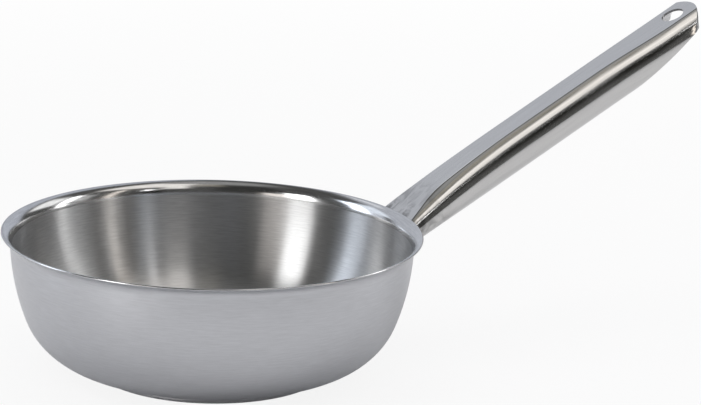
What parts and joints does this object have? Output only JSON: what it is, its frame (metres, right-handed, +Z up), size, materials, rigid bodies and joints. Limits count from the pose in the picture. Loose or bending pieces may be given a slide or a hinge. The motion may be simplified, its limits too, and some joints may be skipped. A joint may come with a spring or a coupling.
{
  "type": "saucier pan",
  "caption": "Round steel saucier with a flared pouring lip, thick sandwich base and a raised hollow welded handle with a hanging hole.",
  "frame": {"origin": "middle of the base's underside, on the stove", "axes": "+Z up out of the bowl, +X from the bowl's middle out along the handle, +Y across it"},
  "size_m": [0.4682, 0.2534, 0.2072],
  "materials": {
    "brushed_bowl_steel": "satin",
    "base_steel": "satin",
    "base_aluminium": "satin",
    "handle_steel": "polished",
    "weld_steel": "satin"
  },
  "bodies": {
    "root": {"bowl": "brushed_bowl_steel", "base_cap": "base_steel", "base_disc": "base_aluminium", "handle_tube": "handle_steel", "handle_weld": "weld_steel"}
  },
  "joints": []
}
